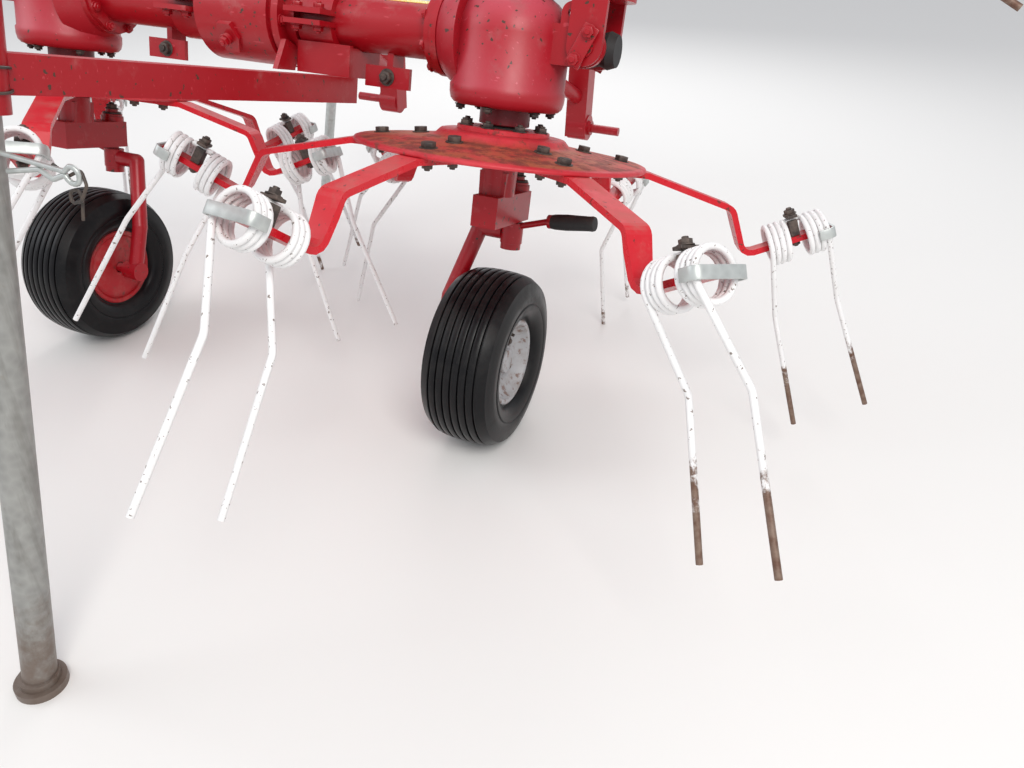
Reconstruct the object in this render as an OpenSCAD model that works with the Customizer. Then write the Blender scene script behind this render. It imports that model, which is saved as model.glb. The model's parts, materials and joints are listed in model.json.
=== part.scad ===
// Mounted hay tedder with four tined rotors, parked with its outer rotors folded up.
// The row of rotors leans forward about the beam, and the hitch stands upright in front.
// +X is to the right, +Y is forward and +Z is up. The ground is z = 0.

/* [Row of rotors] */
// Distance between neighbouring rotor axes
rotor_pitch = 1170; // [1110:10:1260]
// Height of the beam axis above the ground
beam_h = 875; // [860:5:960]
// Forward lean of the row, in degrees
row_tilt = 12; // [8:1:14]
// Distance from an inner rotor axis to the fold hinge
hinge_offset = 167; // [155:1:190]
// Angle that the outer sections are folded up by when parked
fold_rest = 90; // [80:1:90]
// Diameter of the beam tubes
tube_d = 110; // [90:2:116]

/* [Rotor discs] */
// Diameter of a rotor disc
disc_d = 600; // [560:10:640]
// Thickness of the disc plate
disc_t = 8; // [6:1:12]
// Drop from the beam axis to the top of the disc plate
disc_drop = 210; // [200:1:225]
// Diameter of the raised middle of the disc
hat_d = 244; // [200:2:280]
// Height of the raised middle
hat_h = 14; // [6:1:16]
// Diameter of the bolted hub flange
hub_flange_d = 180; // [150:2:196]
// Thickness of the hub flange
hub_flange_t = 9; // [6:1:12]
// Diameter of the fixed shaft that each rotor turns on
shaft_d = 60; // [50:1:66]

/* [Tine arms] */
// Number of arms on a rotor
arm_count = 6; // [5:1:7]
// Width of the flat bar at the disc
arm_w = 52; // [40:1:60]
// Thickness of the flat bar
arm_t = 12; // [10:1:16]
// Width of the end that carries the tine
arm_end_w = 36; // [26:1:44]
// Radius at which the arm bends down
arm_bend_r = 490; // [460:5:510]
// Radius of the middle of the tine seat
seat_r = 636; // [620:1:660]
// Drop of the tine seat below the beam axis
seat_drop = 315; // [305:1:325]
// Rise of the arm's end towards its tip, in degrees
seat_rise = 25; // [15:1:28]

/* [Tines] */
// Diameter of the tine wire
wire_d = 12.5; // [9:0.5:13]
// Outer diameter of a tine coil
coil_d = 92; // [80:1:94]
// Turns in each of the two coils
coil_turns = 4; // [3:1:4]
// Gap between the two coils
coil_gap = 26; // [20:1:30]
// Length of a finger from its coil to its knee
finger_top = 170; // [150:1:174]
// Sideways lean of a finger above its knee, in degrees
finger_lean = 25; // [10:1:30]
// Length of a finger below its knee
finger_low = 276; // [220:1:280]
// Outward lean of a finger below its knee, in degrees
finger_out = 3; // [0:1:8]

/* [Wheels] */
// Diameter of a tyre
tyre_d = 405; // [380:1:420]
// Width of a tyre
tyre_w = 170; // [140:1:180]
// Diameter of the wheel rim
rim_d = 206; // [190:1:220]
// Distance of the wheel axle behind the beam axis
wheel_back = 90; // [70:1:120]
// Diameter of the wheel axles
axle_d = 25; // [20:1:30]
// Diameter of the bent bar that carries a wheel
leg_d = 38; // [30:1:42]
// Distance of the swivel pin ahead of the rotor axis
pivot_ahead = 115; // [105:1:130]
// Diameter of the swivel pin
pivot_d = 26; // [20:1:30]

/* [Parking stands] */
// Diameter of the rear stand pipe
stand_d = 52; // [40:1:60]
// Distance of the rear stand's foot behind the beam axis
stand_back = 1070; // [1060:5:1120]
// Sideways offset of the rear stand's square tube
stand_x = 230; // [225:1:240]
// Width of the square tube
square_w = 50; // [46:1:60]
// Diameter of the front stand pole
pole_d = 34; // [28:1:40]
// Distance of the front stand ahead of the beam axis
pole_ahead = 900; // [880:5:950]

/* [Hitch] */
// Distance of the lower link pins ahead of the beam axis
hitch_ahead = 1150; // [1140:5:1250]
// Height of the lower link pins
hitch_h = 420; // [380:5:460]
// Distance between the shoulders of the lower link pins
hitch_span = 825; // [760:1:870]
// Diameter of a lower link pin
link_pin_d = 28; // [22:1:36]
// Height of the top link hole above the lower link pins
mast_h = 610; // [560:5:650]
// Diameter of the top link hole
top_hole_d = 25.5; // [19:0.5:32]
// Width of the hitch frame tubes
frame_w = 70; // [60:1:80]

/* [Fold cylinders] */
// Diameter of a cylinder barrel
barrel_d = 50; // [40:1:56]
// Diameter of a piston rod
rod_d = 28; // [20:1:32]
// Diameter of the cylinder pins
cyl_pin_d = 20; // [16:1:22]

/* [Fits] */
// Play around a pin or shaft, on the radius
play = 0.5; // [0.3:0.1:0.8]
// Clear space between parts that turn past each other
gap = 6; // [5:0.5:8]

/* [Hidden] */
$fn = 64;

// Each station: side (1 right, -1 left), folding or not, phase of the first arm, hand of the tines
SIDE = 0;
FOLDING = 1;
PHASE = 2;
HAND = 3;
first_arm = 20;
mesh_step = 180 / arm_count;
INNER_RIGHT = [1, false, first_arm, 1];
INNER_LEFT = [-1, false, first_arm + mesh_step, 1];
OUTER_RIGHT = [1, true, mesh_step + 180 - first_arm, -1];
OUTER_LEFT = [-1, true, 180 - first_arm, -1];

// Places along the beam
rotor_x = rotor_pitch / 2;
hinge_x = rotor_x + hinge_offset;
wing_reach = rotor_pitch - hinge_offset;
foot_r = 40;
link_r = 42;
row_y = (stand_back + foot_r - hitch_ahead - link_r) / 2;

// A point given by its distance ahead of the beam axis and its height above ground, in the leaning row's frame
function row_yz(ahead, height) = [
    ahead * cos(row_tilt) - (height - beam_h) * sin(row_tilt),
    ahead * sin(row_tilt) + (height - beam_h) * cos(row_tilt)
];

module row_frame()
    translate([0, row_y, beam_h]) rotate([-row_tilt, 0, 0]) children();

module hitch_frame()
    translate([0, row_y, 0]) children();

module on_side(side)
    mirror([side < 0 ? 1 : 0, 0, 0]) children();

module both_sides() {
    on_side(1) children();
    on_side(-1) children();
}

module wing_frame(side)
    row_frame() on_side(side) translate([hinge_x, 0, 0]) rotate([0, -fold_rest, 0]) children();

// The frame of a rotor: its axis is z, and z = 0 is the beam axis
module station(place) {
    if (place[FOLDING])
        wing_frame(place[SIDE]) translate([wing_reach, 0, 0]) children();
    else
        row_frame() on_side(place[SIDE]) translate([rotor_x, 0, 0]) children();
}

// Directions and bends
function unit(v) = v / norm(v);
function left_of(v) = [-v.y, v.x];

// A rounded copy of an open line: each inner corner becomes an arc of short chords
function corner_arc(a, b, c, r, steps) =
    let (u = unit(a - b), w = unit(c - b))
    let (half = acos(u * w) / 2, reach = r / tan(half))
    let (turn = cross([u.x, u.y], [w.x, w.y]) > 0 ? 1 : -1)
    let (start = b + u * reach, middle = start + turn * left_of(u) * r)
    let (swing = -turn * (180 - 2 * half))
    [for (i = [0:steps])
        let (q = swing * i / steps, arm = start - middle)
        middle + [arm.x * cos(q) - arm.y * sin(q), arm.x * sin(q) + arm.y * cos(q)]];
function rounded(line, r, steps = 3) =
    let (last = len(line) - 1)
    concat(
        [line[0]],
        [for (i = [1:last - 1]) each corner_arc(line[i - 1], line[i], line[i + 1], r, steps)],
        [line[last]]
    );

// The outline of a strip of even thickness that follows a line
function across(line, i) =
    let (last = len(line) - 1)
    let (before = left_of(unit(line[max(i, 1)] - line[max(i, 1) - 1])))
    let (after = left_of(unit(line[min(i + 1, last)] - line[min(i + 1, last) - 1])))
    let (mean = unit(before + after))
    mean / (mean * before);
function strip(line, t) = concat(
    [for (i = [0:len(line) - 1]) line[i] + across(line, i) * t / 2],
    [for (i = [len(line) - 1:-1:0]) line[i] - across(line, i) * t / 2]
);

// A rod from a to b
module rod(a, b, d) {
    v = b - a;
    translate(a)
        rotate([0, acos(v.z / norm(v)), atan2(v.y, v.x)])
            cylinder(d = d, h = norm(v));
}

// A bent round bar through a list of points
module bent_bar(points, d) {
    for (i = [1:len(points) - 1])
        rod(points[i - 1], points[i], d);
    for (i = [1:len(points) - 2])
        translate(points[i]) sphere(d = d + 0.6);
}

module along_x(d, x0, x1)
    translate([x0, 0, 0]) rotate([0, 90, 0]) cylinder(d = d, h = x1 - x0);

module along_y(d, y0, y1)
    translate([0, y1, 0]) rotate([90, 0, 0]) cylinder(d = d, h = y1 - y0);

module along_z(d, z0, z1)
    translate([0, 0, z0]) cylinder(d = d, h = z1 - z0);

module block(x, y, z)
    translate([x[0], y[0], z[0]]) cube([x[1] - x[0], y[1] - y[0], z[1] - z[0]]);

// An upright plate in the x-z plane from its outline, between two values of y
module plate_xz(outline, y0, y1)
    translate([0, y1, 0]) rotate([90, 0, 0]) linear_extrude(height = y1 - y0) polygon(outline);

// Middle of the beam
drum_r = 103;
drum_x = [-112, 74];
neck_r = drum_r - 11;
gear_flange = [84, 100];
gear_half = 106;
cheek_x = 118;
cheek_d = 150;
input_d = 118;
input_end = 172;
spline_d = 34.9;
spline_end = 262;
plug_x = -30;
plug_turn = 33;

module center_gearbox() color("firebrick") row_frame() {
    difference() {
        union() {
            along_x(2 * drum_r, drum_x[0], drum_x[1]);
            along_x(2 * neck_r, drum_x[1] - 1, gear_flange[0] + 1);
            along_x(2 * drum_r - 6, gear_flange[0], gear_flange[1]);
            along_x(cheek_d, -cheek_x, cheek_x);
            along_y(input_d, 0, input_end);
            rotate([plug_turn, 0, 0]) translate([plug_x, 0, 0]) {
                plate_xz([[-16, -32], [16, -32], [28, 0], [16, 32], [-16, 32], [-28, 0]],
                    -drum_r - 7, -drum_r / 2);
                along_y(24, -drum_r - 16, -drum_r);
            }
            translate([gear_flange[1], 0, 0]) rotate([90, 0, 90]) linear_extrude(height = 12)
                polygon([[-84, -48], [-112, -beam_top], [-50, -beam_top], [-40, -60]]);
        }
        along_y(spline_d + 2 * gap, gear_half + 30, input_end + 1);
    }
}

module input_shaft() color("dimgray") row_frame() {
    along_y(spline_d, gear_half + 30 + play, spline_end);
    along_y(spline_d + 8, input_end - 20, input_end + 8);
}

// Inner tubes and the flanges at their outer ends
gear_flange_x = rotor_x - 144;
flange_d = 165;
flange_t = 14;

// Small brackets that hang under the tubes, right and left: middle of each in x
bracket_x = [325, -255];
bracket_y = [-30, -20];
bracket_z = [-119, -77];
bracket_w = 104;

module inner_tubes() color("firebrick") row_frame() {
    both_sides() {
        along_x(tube_d, cheek_x, gear_flange_x);
        along_x(flange_d - 8, gear_flange_x - flange_t, gear_flange_x);
        along_x(cheek_d, cheek_x, cheek_x + 5);
    }
    for (x = bracket_x) {
        block([x - bracket_w / 2, x + bracket_w / 2], bracket_y, bracket_z);
        block([x - 7, x + 7], [bracket_y[1] - 1, 24], [bracket_z[0] + 4, -tube_d / 2 + 10]);
    }
}

// Split clamps round the tubes: they carry the hitch beams, the rear beam and the fold cylinders
clamp_x = 164;
clamp_w = 44;
clamp_h = 78;
clamp_reach = 92;
clamp_wall = 15;
clamp_ends = [clamp_x - 40, clamp_x + 48];
clamp_slot = 6;
clamp_flange = 10;
clamp_back = -112;
beam_top = 108;
base_pin = [clamp_x, 235];
ear_t = 10;
eye_t = 26;
hanger_end = stand_x + square_w / 2 - 3;

module tube_clamps() color("firebrick") row_frame() {
    both_sides() difference() {
        union() {
            along_x(tube_d + 2 * clamp_wall, clamp_ends[0] + 3, clamp_ends[1] - 3);
            block([clamp_x - clamp_w / 2, clamp_x + clamp_w / 2], [50, clamp_reach], [-clamp_h, clamp_h]);
            block(clamp_ends, [clamp_back, -50], [-clamp_slot - clamp_flange, clamp_slot + clamp_flange]);
            block(clamp_ends, [50, clamp_reach], [-clamp_slot - clamp_flange, clamp_slot + clamp_flange]);
            for (y = [-1, 1])
                translate([0, y * (eye_t / 2 + 2 + ear_t / 2), 0])
                    plate_xz(
                        [[clamp_x - 20, 48], [clamp_x + 44, 48], [clamp_x + 44, clamp_h],
                            [clamp_x + 16, base_pin[1] + 22], [clamp_x - 20, base_pin[1] + 22]],
                        -ear_t / 2, ear_t / 2
                    );
        }
        along_x(tube_d, clamp_x - 60, clamp_x + 60);
        block([clamp_x - 60, clamp_x + 60], [clamp_back - 1, -tube_d / 2 + 10], [-clamp_slot, clamp_slot]);
        translate([base_pin[0], 0, base_pin[1]]) along_y(cyl_pin_d, -60, 60);
    }
    // The hanger of the rear beam, below the right clamp
    block([clamp_x - 40, hanger_end], [-60, -48], [-beam_top, -46]);
    difference() {
        block([clamp_x + 14, hanger_end], [-49, 60], [-beam_top, -50]);
        along_x(tube_d + 2, clamp_x - 60, hanger_end + 1);
    }
}

// Castings over the inner rotors, with the lugs of the fold hinges
casting_d = 150;
casting_out = 64;
casting_top = 80;
neck_top = -128;
neck_end = -(disc_drop - hat_h - hub_flange_t) + gap;
lug_y = 40;
lug_t = 12;
lug_r = 36;
hinge_pin_d = 24;
ear_y = lug_y + lug_t + 1;
boot_r = lug_y - 5;
lifting_eye = [132, 56];

module rotor_casting(out) {
    along_x(casting_d - 14, -144, out);
    along_x(flange_d, -144, -144 + flange_t);
    along_z(casting_d - 16, neck_top, casting_top);
    along_z(casting_d - 34, casting_top, casting_top + 10);
    along_z(casting_d + 8, neck_top, neck_top + 12);
    for (a = [45, 135, 225, 315])
        rotate([a, 0, 0])
            plate_xz([[-132, 60], [-132, flange_d / 2 - 6], [-60, 66], [-60, 50]], -5, 5);
}

module inner_gearboxes() color("firebrick") row_frame() both_sides() translate([rotor_x, 0, 0]) {
    difference() {
        union() {
            rotor_casting(casting_out);
            for (y = [-1, 1])
                translate([0, y * (lug_y + lug_t / 2), 0]) {
                    block([40, hinge_offset], [-lug_t / 2, lug_t / 2], [-lug_r, lug_r]);
                    translate([hinge_offset, 0, 0]) along_y(2 * lug_r, -lug_t / 2, lug_t / 2);
                }
        }
        along_x(2 * boot_r, casting_out - 8, casting_out + 8);
    }
    difference() {
        translate([lifting_eye[0], 0, 0]) {
            translate([0, 0, lifting_eye[1]]) along_y(40, -lug_y - lug_t, -lug_y);
            block([-20, 20], [-lug_y - lug_t, -lug_y], [lug_r - 4, lifting_eye[1]]);
        }
        translate([lifting_eye[0], 0, lifting_eye[1]]) along_y(16, -lug_y - lug_t - 1, -lug_y + 1);
    }
    for (y = [-1, 1])
        translate([hinge_offset, 0, 0]) mirror([0, y < 0 ? 1 : 0, 0]) {
            along_y(hinge_pin_d, lug_y + 1, ear_y + lug_t + 9);
            along_y(hinge_pin_d + 14, ear_y + lug_t + 1, ear_y + lug_t + 6);
        }
    along_z(shaft_d, -post_top, neck_top + 4);
}

// Rubber: a ribbed seal below each inner casting and a bellows over each hinge's drive joint
module ribbed(r_in, r_out, length, ribs)
    rotate_extrude()
        polygon(concat(
            [[0, 0]],
            [for (i = [0:2 * ribs]) [i % 2 == 0 ? r_in : r_out, length * i / (2 * ribs)]],
            [[0, length]]
        ));

module neck_seal()
    difference() {
        translate([0, 0, neck_end]) ribbed(42, 48, neck_top - neck_end, 3);
        along_z(shaft_d, neck_end - 1, neck_top + 1);
    }

module rubber_boots() color("black") row_frame() both_sides() translate([rotor_x, 0, 0]) {
    neck_seal();
    translate([casting_out - 8, 0, 0]) rotate([0, 90, 0])
        ribbed(boot_r - 6, boot_r - 0.3, hinge_offset - casting_out + 56, 5);
}

// Posts below the rotors: each carries a box bar with the swivel pin of its wheel
post_d = 72;
post_top = disc_drop + disc_t + 22;
bar_w = 56;
bar_top = 300;
bar_bottom = 364;
bush_d = 50;
bush_top = 372;
bush_len = 46;

module post() {
    along_z(post_d, -bar_top - 1, -post_top);
    block([-bar_w / 2, bar_w / 2], [-58, pivot_ahead + 20], [-bar_bottom, -bar_top]);
    plate_xz(
        [[-post_d / 2 + 6, -post_top - 12], [-bar_w / 2, -bar_top - 4], [bar_w / 2, -bar_top - 4],
            [post_d / 2 - 6, -post_top - 12]],
        -30, 30
    );
    translate([0, pivot_ahead, 0]) {
        along_z(bush_d + 6, -bar_bottom, -bar_top + 12);
        along_z(pivot_d, -bush_top - bush_len - 12, -bar_bottom + 1);
        along_z(bush_d - 4, -bush_top - bush_len - 14, -bush_top - bush_len - play);
        along_z(bush_d, -bar_top + 12, -bar_top + 18);
        along_z(pivot_d + 4, -bar_top + 18, -bar_top + 30);
    }
}

module inner_posts() color("firebrick") {
    station(INNER_RIGHT) post();
    station(INNER_LEFT) post();
}

// Square beam to the rear stand, with the collar at its end
collar_d = stand_d + 24;
collar_len = 150;
collar_z = -106;
beam_drop = beam_top + square_w / 2;
beam_front = -30;
foot_t = 14;
collar_y = row_yz(-stand_back, foot_t)[0];

module rear_beam() color("firebrick") row_frame() translate([stand_x, 0, 0]) difference() {
    union() {
        translate([0, 0, -beam_drop])
            block([-square_w / 2, square_w / 2], [collar_y, beam_front], [-square_w / 2, square_w / 2]);
        translate([0, collar_y, collar_z]) along_z(collar_d, -collar_len / 2, collar_len / 2);
    }
    translate([0, collar_y, collar_z]) along_z(stand_d + 2 * play, -collar_len / 2 - 1, collar_len / 2 + 1);
}

// Rear stand: a pipe square to the leaning row, outside the circle of the tine tips, on a round foot
pipe_foot = row_yz(-stand_back, foot_t)[1];
pipe_end = collar_z + collar_len / 2 + 40;
pipe_bore = 260;

module rear_stand() color("darkgray") {
    row_frame() translate([stand_x, collar_y, 0]) difference() {
        along_z(stand_d, pipe_foot, pipe_end);
        along_z(stand_d - 8, pipe_end - pipe_bore, pipe_end + 1);
    }
    hitch_frame() translate([stand_x, -stand_back, 0]) {
        cylinder(r = foot_r, h = foot_t);
        cylinder(d = stand_d + 10, h = foot_t + 12);
    }
}

// Hitch: two beams from the clamps to an upright frame with the link pins and the mast
pin_collar = 14;
post_out = hitch_span / 2 - pin_collar;
post_x = post_out - frame_w / 2;
link_pin_len = 96;
plate_y = clamp_reach + 8;
top_bar_h = beam_h + 20;
top_hole_h = hitch_h + mast_h;
mast_gap = 52;
mast_t = 16;
pole_x = 428;
pole_lean = 10.1;
pole_sleeve_h = 680;
sleeve_len = 120;
pole_top_h = 800;

beam_start = [clamp_x, plate_y * cos(row_tilt), beam_h - plate_y * sin(row_tilt) - 20];
beam_end = [post_x, hitch_ahead, top_bar_h - 10];
strut_start = beam_start + (beam_end - beam_start) * 0.36;
pole_arm = beam_start + (beam_end - beam_start) * (pole_ahead - beam_start.y) / (beam_end.y - beam_start.y);

function pole_point(h) = [-pole_x - (pole_sleeve_h - h) * tan(pole_lean), pole_ahead, h];

module headstock() color("firebrick") hitch_frame() {
    difference() {
        union() {
            both_sides() {
                block([post_x - frame_w / 2, post_x + frame_w / 2], [hitch_ahead - 35, hitch_ahead + 35],
                    [hitch_h - 30, top_bar_h + 35]);
                translate([0, hitch_ahead, hitch_h])
                    along_x(2 * link_r, post_out - frame_w + 6, post_out + 4);
                translate([0, 0, beam_h]) rotate([-row_tilt, 0, 0])
                    block([clamp_x - clamp_w / 2, clamp_x + clamp_w / 2], [clamp_reach, clamp_reach + 16],
                        [-clamp_h, clamp_h]);
                rod(beam_start, beam_end, frame_w - 10);
                rod(strut_start, [post_x, hitch_ahead, hitch_h + 90], frame_w - 24);
                translate([mast_gap / 2, 0, 0])
                    rotate([90, 0, 90]) linear_extrude(height = mast_t)
                        polygon([[hitch_ahead - 150, top_bar_h], [hitch_ahead + 35, top_bar_h],
                            [hitch_ahead + 30, top_hole_h + 24], [hitch_ahead - 16, top_hole_h + 36],
                            [hitch_ahead - 50, top_hole_h + 10]]);
            }
            block([-post_x, post_x], [hitch_ahead - 35, hitch_ahead + 35], [top_bar_h - 35, top_bar_h + 35]);
            block([-mast_gap / 2 - mast_t, mast_gap / 2 + mast_t], [hitch_ahead - 150, hitch_ahead - 34],
                [top_bar_h - 20, top_bar_h + 14]);
            rod(pole_point(pole_sleeve_h - sleeve_len / 2), pole_point(pole_sleeve_h + sleeve_len / 2),
                pole_d + 18);
            rod(pole_point(pole_sleeve_h), [-pole_arm.x, pole_arm.y, pole_arm.z], 40);
        }
        translate([0, hitch_ahead - 10, top_hole_h]) along_x(top_hole_d, -90, 90);
        rod(pole_point(pole_sleeve_h - sleeve_len), pole_point(pole_sleeve_h + sleeve_len), pole_d + 2 * play);
    }
    both_sides()
        translate([0, hitch_ahead, hitch_h]) {
            along_x(link_pin_d, post_out + 3, post_out + pin_collar + link_pin_len);
            along_x(link_pin_d + 20, post_out + 3, post_out + pin_collar);
        }
}

module front_stand() color("gray") hitch_frame() difference() {
    union() {
        rod(pole_point(10), pole_point(pole_top_h), pole_d);
        translate(pole_point(0)) cylinder(d = 2 * foot_r, h = 12);
    }
    translate(pole_point(0)) translate([0, 0, -40]) cylinder(d = 3 * foot_r, h = 40);
}

// Outer sections
wing_flange_x = 86;
cyl_lug = [150, 135];
cyl_side = eye_t / 2 + 2;

module wing_beam(side) color("firebrick") wing_frame(side) {
    difference() {
        union() {
            along_x(tube_d, wing_flange_x, wing_reach - 144);
            along_x(flange_d - 30, wing_flange_x, wing_flange_x + flange_t);
            along_x(flange_d - 8, wing_reach - 144 - flange_t, wing_reach - 144);
            for (y = [-1, 1])
                translate([0, y * (ear_y + lug_t / 2), 0]) {
                    block([0, wing_flange_x + 2], [-lug_t / 2, lug_t / 2], [-lug_r + 2, lug_r - 2]);
                    along_y(2 * lug_r - 4, -lug_t / 2, lug_t / 2);
                }
            for (y = [-1, 1])
                translate([0, y * (cyl_side + ear_t / 2), 0])
                    plate_xz(
                        [[wing_flange_x + 4, 40], [wing_flange_x + 4, 92], [cyl_lug[0] - 38, cyl_lug[1] + 18],
                            [cyl_lug[0] + 2, cyl_lug[1] + 26], [cyl_lug[0] + 30, cyl_lug[1] + 4],
                            [cyl_lug[0] + 70, 40]],
                        -ear_t / 2, ear_t / 2
                    );
        }
        for (y = [-1, 1])
            translate([0, y * (ear_y + lug_t / 2), 0])
                along_y(hinge_pin_d + 2 * play, -lug_t, lug_t);
    }
    for (y = [-1, 1])
        translate([cyl_lug[0], y * (cyl_side + ear_t), cyl_lug[1]]) {
            along_y(cyl_pin_d + 14, y > 0 ? -1 : -5, y > 0 ? 5 : 1);
            along_y(cyl_pin_d, y > 0 ? -1 : -12, y > 0 ? 12 : 1);
        }
    translate([wing_reach, 0, 0]) {
        rotor_casting(casting_out);
        along_z(shaft_d, neck_end - 1, neck_top + 1);
        neck_seal();
        along_z(shaft_d, -post_top, neck_end + 1);
    }
}

module wing_post(side) color("firebrick")
    station(side > 0 ? OUTER_RIGHT : OUTER_LEFT) post();

// Fold cylinders, in the row's frame: from the pin on the clamp to the lugs on the outer section
rest_eye = [hinge_x - cyl_lug[1], cyl_lug[0]];
cyl_vector = rest_eye - base_pin;
cyl_closed = norm(cyl_vector);
cyl_angle = atan2(cyl_vector[1], cyl_vector[0]);
barrel_len = cyl_closed - 134;

module cylinder_frame(side)
    row_frame() on_side(side) translate([base_pin[0], 0, base_pin[1]]) rotate([0, -cyl_angle, 0]) children();

module barrel(side) color("black") cylinder_frame(side) {
    difference() {
        union() {
            along_x(barrel_d, 38, barrel_len);
            along_x(barrel_d + 8, barrel_len - 34, barrel_len - 4);
            along_y(44, -eye_t / 2, eye_t / 2);
            block([0, 42], [-eye_t / 2 + 2, eye_t / 2 - 2], [-16, 16]);
        }
        along_x(rod_d + 2 * play, 46, barrel_len + 1);
    }
    along_y(cyl_pin_d - 2 * play, -eye_t / 2 - ear_t - 8, eye_t / 2 + ear_t + 8);
}

module rod_with_eye(side) color("silver") cylinder_frame(side) {
    along_x(rod_d, 48, cyl_closed - 18);
    translate([cyl_closed, 0, 0]) along_y(44, -eye_t / 2, eye_t / 2);
}

// Rotor discs, slightly conical above
disc_rise = 6;

module disc(place) color("orangered") station(place) {
    top = -disc_drop;
    bore = shaft_d / 2 + play;
    rotate_extrude()
        polygon([
            [bore, -post_top + gap], [70, -post_top + gap], [70, top - disc_t], [disc_d / 2 - 3, top - disc_t],
            [disc_d / 2, top - disc_t + 3], [disc_d / 2, top - 3], [disc_d / 2 - 3, top],
            [hat_d / 2 + hat_h, top + disc_rise], [hat_d / 2, top + hat_h], [hub_flange_d / 2, top + hat_h],
            [hub_flange_d / 2, top + hat_h + hub_flange_t], [bore, top + hat_h + hub_flange_t]
        ]);
}

// Cranked arms: a flat bar below the disc, bent down and then out along the rising seat
arm_start = 150;
arm_z = -disc_drop - disc_t - arm_t / 2;
crank_r = seat_r - 103;
seat_end = 68;
arm_line = [
    [arm_start, arm_z],
    [disc_d / 2 + 6, arm_z],
    [arm_bend_r, arm_z - (arm_bend_r - disc_d / 2 - 6) * tan(14)],
    [crank_r, -seat_drop - (seat_r - crank_r) * tan(seat_rise)],
    [seat_r + seat_end * cos(seat_rise), -seat_drop + seat_end * sin(seat_rise)]
];

module arm()
    intersection() {
        plate_xz(strip(rounded(arm_line, 22), arm_t), -arm_w / 2, arm_w / 2);
        translate([0, 0, -2 * seat_drop]) linear_extrude(height = 2 * seat_drop)
            polygon([
                [arm_start - 20, -arm_w / 2], [arm_bend_r + 10, -arm_w / 2], [crank_r + 4, -arm_end_w / 2],
                [seat_r + 160, -arm_end_w / 2], [seat_r + 160, arm_end_w / 2], [crank_r + 4, arm_end_w / 2],
                [arm_bend_r + 10, arm_w / 2], [arm_start - 20, arm_w / 2]
            ]);
    }

// Repeats a piece on every arm of a rotor, mirrored for the other hand
module on_arms(place)
    station(place)
        for (i = [0:arm_count - 1])
            rotate([0, 0, place[PHASE] + i * 360 / arm_count])
                mirror([0, place[HAND] < 0 ? 1 : 0, 0])
                    children();

module on_seats(place)
    on_arms(place) translate([seat_r, 0, -seat_drop]) rotate([0, -seat_rise, 0]) children();

module arms(place) color("red") on_arms(place) arm();

// Tines: two coils round the seat, joined over the clamp. Each runs out into a finger with a knee
wire_step = wire_d * 0.96;
coil_mean = (coil_d - wire_d) / 2;
turn_gap = 0.3;
full_turns = coil_turns - 1;
last_turn_x = coil_gap / 2 + wire_d * 1.5 + (full_turns - 1) * wire_step + turn_gap;
last_turn_angle = 300;
finger_d = wire_d - 0.4;
knee_out = 10;

// Turns the plane of a revolve so that its axis is x and its angle runs from y to z
module about_x()
    rotate([90, 0, 90]) children();

module coil()
    about_x()
        rotate_extrude()
            for (i = [0:full_turns - 1])
                translate([coil_mean, coil_gap / 2 + wire_d / 2 + i * wire_step]) circle(d = wire_d, $fn = 24);

module last_turn(x) {
    leave = 180 + finger_lean;
    start = [x, coil_mean * cos(leave), coil_mean * sin(leave)];
    way = unit([knee_out, finger_top * sin(finger_lean), -finger_top * cos(finger_lean)]);
    knee = start + way * finger_top;
    tip = knee + [finger_low * sin(finger_out), 0, -finger_low * cos(finger_out)];
    about_x()
        rotate([0, 0, leave - last_turn_angle])
            rotate_extrude(angle = last_turn_angle)
                translate([coil_mean, x]) circle(d = wire_d, $fn = 24);
    bent_bar([start - way, knee, tip], finger_d);
}

module tine() {
    coil();
    mirror([1, 0, 0]) coil();
    translate([0, 0, coil_mean]) along_x(finger_d, -coil_gap / 2 - 4, coil_gap / 2 + 4);
    last_turn(last_turn_x);
    last_turn(-last_turn_x);
}

module tines(place) color("white") on_seats(place) tine();

// Clips: a clamp block and its nut over the middle wire, and a strap bent round the outer coil
strap_t = 5;
strap_h = 21;
strap_leg = 28;

module clip() {
    difference() {
        union() {
            block([-coil_gap / 2 + 3, coil_gap / 2 - 3], [-17, 17], [arm_t / 2, coil_mean + finger_d / 2 + 4]);
            along_z(19, coil_mean + finger_d / 2 + 3, coil_mean + finger_d / 2 + 14);
            along_z(20, -arm_t / 2 - 9, -arm_t / 2 - 0.1);
        }
        translate([0, 0, coil_mean]) along_x(finger_d + 0.4, -coil_gap, coil_gap);
    }
    inside = coil_d / 2 + 2;
    difference() {
        block([seat_end - strap_leg, seat_end + strap_t], [-inside - strap_t, inside + strap_t],
            [-strap_h / 2, strap_h / 2]);
        block([seat_end - strap_leg - 1, seat_end], [-inside, inside], [-strap_h, strap_h]);
    }
}

module clips(place) color("silver") on_seats(place) clip();

// Wheels, in the frame of a wheel: its axle is x, and the leg is on the side of -x
wheel_row = row_yz(-wheel_back, tyre_d / 2);
leg_x = tyre_w / 2 + leg_d / 2 + 16;

module wheel_frame(place)
    station(place) translate([0, wheel_row[0], wheel_row[1]]) children();

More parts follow.
